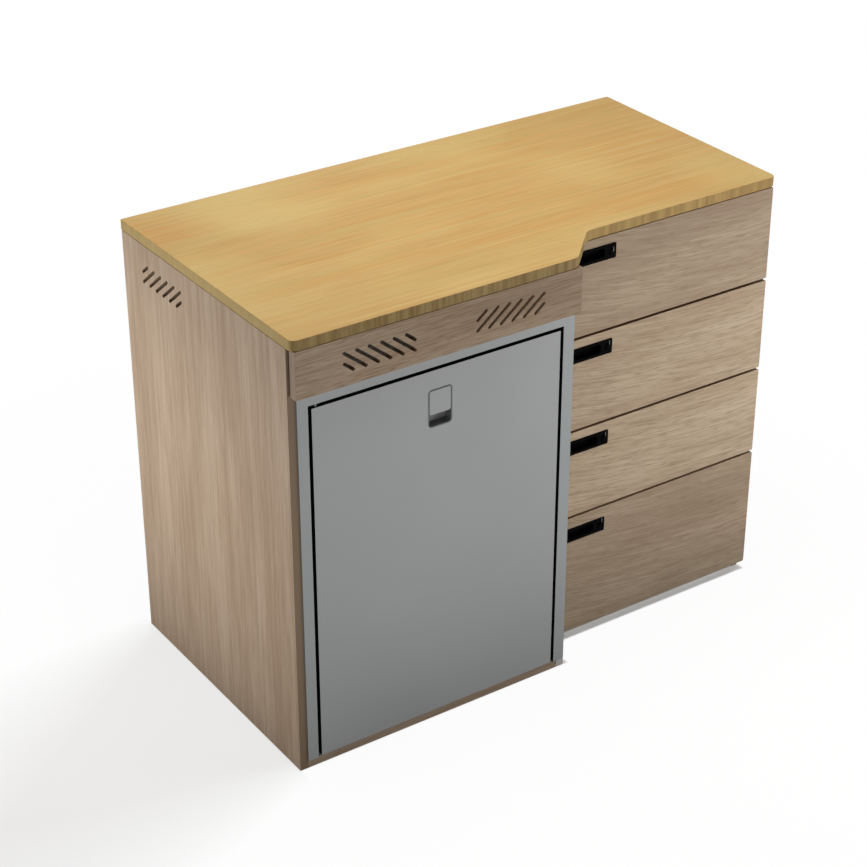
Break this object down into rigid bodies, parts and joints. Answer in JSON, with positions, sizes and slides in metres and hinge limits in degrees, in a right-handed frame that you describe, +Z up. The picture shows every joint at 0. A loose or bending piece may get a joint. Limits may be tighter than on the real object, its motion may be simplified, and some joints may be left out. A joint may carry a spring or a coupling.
{
  "type": "campervan kitchen pod",
  "caption": "Kitchen pod for a campervan: worktop with a stepped front edge over a built-in compressor fridge behind a vented fascia and a bank of overlay drawers.",
  "frame": {"origin": "on the floor, under the middle of the bounding box", "axes": "+X along the length from the fridge to the drawers, +Y from the front to the back, +Z up"},
  "size_m": [1.008, 0.5412, 0.7906],
  "materials": {
    "bamboo_worktop": "satin",
    "oak_veneer_ply": "matte",
    "birch_ply": "matte",
    "grey_laminate_ply": "satin",
    "painted_steel_grey": "satin",
    "white_polystyrene": "satin",
    "polyurethane_foam": "matte",
    "seal_rubber": "matte",
    "black_abs": "satin",
    "dark_grey_abs": "matte",
    "zinc_plated_steel": "satin",
    "aluminium_sheet": "satin",
    "clear_polystyrene": "gloss",
    "black_enamel_steel": "satin"
  },
  "bodies": {
    "carcass": {"worktop": "bamboo_worktop", "left_side_panel": "oak_veneer_ply", "divider_panel": "grey_laminate_ply", "right_side_panel": "oak_veneer_ply", "fridge_base_board": "oak_veneer_ply", "drawer_base_board": "grey_laminate_ply", "drawer_back_panel": "birch_ply", "bay_rear_rail": "birch_ply", "vent_fascia": "oak_veneer_ply", "fridge_flush_frame": "painted_steel_grey", "fridge_cabinet_shell": "painted_steel_grey", "fridge_insulation": "polyurethane_foam", "fridge_liner": "white_polystyrene", "freezer_box": "aluminium_sheet", "shelf_upper": "clear_polystyrene", "shelf_lower": "clear_polystyrene", "crisper_bin": "clear_polystyrene", "thermostat_housing": "white_polystyrene", "compressor": "black_enamel_steel", "condenser": "black_enamel_steel", "fan_housing": "black_abs", "cross_rail_1": "birch_ply", "cross_rail_2": "birch_ply", "cross_rail_3": "birch_ply", "cross_rail_4": "birch_ply"},
    "drawer_1": {"drawer_1_front": "oak_veneer_ply", "drawer_1_box": "birch_ply", "drawer_1_pull": "black_abs"},
    "drawer_1_runners": {"drawer_1_runner_left": "zinc_plated_steel", "drawer_1_runner_right": "zinc_plated_steel"},
    "drawer_1_lock": {"drawer_1_lock_slide": "zinc_plated_steel"},
    "drawer_2": {"drawer_2_front": "oak_veneer_ply", "drawer_2_box": "birch_ply", "drawer_2_pull": "black_abs"},
    "drawer_2_runners": {"drawer_2_runner_left": "zinc_plated_steel", "drawer_2_runner_right": "zinc_plated_steel"},
    "drawer_2_lock": {"drawer_2_lock_slide": "zinc_plated_steel"},
    "drawer_3": {"drawer_3_front": "oak_veneer_ply", "drawer_3_box": "birch_ply", "drawer_3_pull": "black_abs"},
    "drawer_3_runners": {"drawer_3_runner_left": "zinc_plated_steel", "drawer_3_runner_right": "zinc_plated_steel"},
    "drawer_3_lock": {"drawer_3_lock_slide": "zinc_plated_steel"},
    "drawer_4": {"drawer_4_front": "oak_veneer_ply", "drawer_4_box": "birch_ply", "drawer_4_pull": "black_abs"},
    "drawer_4_runners": {"drawer_4_runner_left": "zinc_plated_steel", "drawer_4_runner_right": "zinc_plated_steel"},
    "drawer_4_lock": {"drawer_4_lock_slide": "zinc_plated_steel"},
    "fridge_door": {"fridge_door_skin": "painted_steel_grey", "fridge_door_core": "polyurethane_foam", "fridge_door_liner": "white_polystyrene", "fridge_door_seal": "seal_rubber", "latch_housing": "dark_grey_abs", "door_rack": "clear_polystyrene", "bottle_rack": "clear_polystyrene"},
    "latch": {"latch_flap": "painted_steel_grey"},
    "freezer_door": {"freezer_flap": "white_polystyrene"},
    "knob": {"thermostat_knob": "white_polystyrene"},
    "fan": {"fan_rotor": "black_abs"}
  },
  "joints": [
    {"name": "drawer_1_slide", "type": "slide", "parent": "carcass", "child": "drawer_1", "axis": [0, -1, 0], "range_m": [0, 0.38]},
    {"name": "drawer_1_runner_slide", "type": "slide", "parent": "carcass", "child": "drawer_1_runners", "axis": [0, -1, 0], "range_m": [0, 0.19]},
    {"name": "drawer_1_lock_throw", "type": "slide", "parent": "drawer_1", "child": "drawer_1_lock", "axis": [0, 0, 1], "range_m": [0, 0.006]},
    {"name": "drawer_2_slide", "type": "slide", "parent": "carcass", "child": "drawer_2", "axis": [0, -1, 0], "range_m": [0, 0.38]},
    {"name": "drawer_2_runner_slide", "type": "slide", "parent": "carcass", "child": "drawer_2_runners", "axis": [0, -1, 0], "range_m": [0, 0.19]},
    {"name": "drawer_2_lock_throw", "type": "slide", "parent": "drawer_2", "child": "drawer_2_lock", "axis": [0, 0, 1], "range_m": [0, 0.006]},
    {"name": "drawer_3_slide", "type": "slide", "parent": "carcass", "child": "drawer_3", "axis": [0, -1, 0], "range_m": [0, 0.38]},
    {"name": "drawer_3_runner_slide", "type": "slide", "parent": "carcass", "child": "drawer_3_runners", "axis": [0, -1, 0], "range_m": [0, 0.19]},
    {"name": "drawer_3_lock_throw", "type": "slide", "parent": "drawer_3", "child": "drawer_3_lock", "axis": [0, 0, 1], "range_m": [0, 0.006]},
    {"name": "drawer_4_slide", "type": "slide", "parent": "carcass", "child": "drawer_4", "axis": [0, -1, 0], "range_m": [0, 0.38]},
    {"name": "drawer_4_runner_slide", "type": "slide", "parent": "carcass", "child": "drawer_4_runners", "axis": [0, -1, 0], "range_m": [0, 0.19]},
    {"name": "drawer_4_lock_throw", "type": "slide", "parent": "drawer_4", "child": "drawer_4_lock", "axis": [0, 0, 1], "range_m": [0, 0.006]},
    {"name": "fridge_door_hinge", "type": "hinge", "parent": "carcass", "child": "fridge_door", "pos_m": [-0.454, -0.24735, 0.339], "axis": [0, 0, -1], "range_deg": [0, 115]},
    {"name": "latch_flap_hinge", "type": "hinge", "parent": "fridge_door", "child": "latch", "pos_m": [-0.2305, -0.25225, 0.624], "axis": [-1, 0, 0], "range_deg": [0, 35], "stiffness_Nm_per_rad": 0.05},
    {"name": "freezer_flap_hinge", "type": "hinge", "parent": "carcass", "child": "freezer_door", "pos_m": [-0.2305, -0.07205, 0.6284], "axis": [-1, 0, 0], "range_deg": [0, 80]},
    {"name": "thermostat_turn", "type": "hinge", "parent": "carcass", "child": "knob", "pos_m": [-0.0461, -0.06735, 0.47216], "axis": [0, -1, 0], "range_deg": [0, 270]},
    {"name": "fan_spin", "type": "hinge", "parent": "carcass", "child": "fan", "pos_m": [-0.1058, 0.21205, 0.0753], "axis": [0, -1, 0], "continuous": true}
  ],
  "couplings": [
    {"joint": "drawer_1_runner_slide", "follows": "drawer_1_slide", "ratio": 0.5},
    {"joint": "drawer_2_runner_slide", "follows": "drawer_2_slide", "ratio": 0.5},
    {"joint": "drawer_3_runner_slide", "follows": "drawer_3_slide", "ratio": 0.5},
    {"joint": "drawer_4_runner_slide", "follows": "drawer_4_slide", "ratio": 0.5}
  ]
}
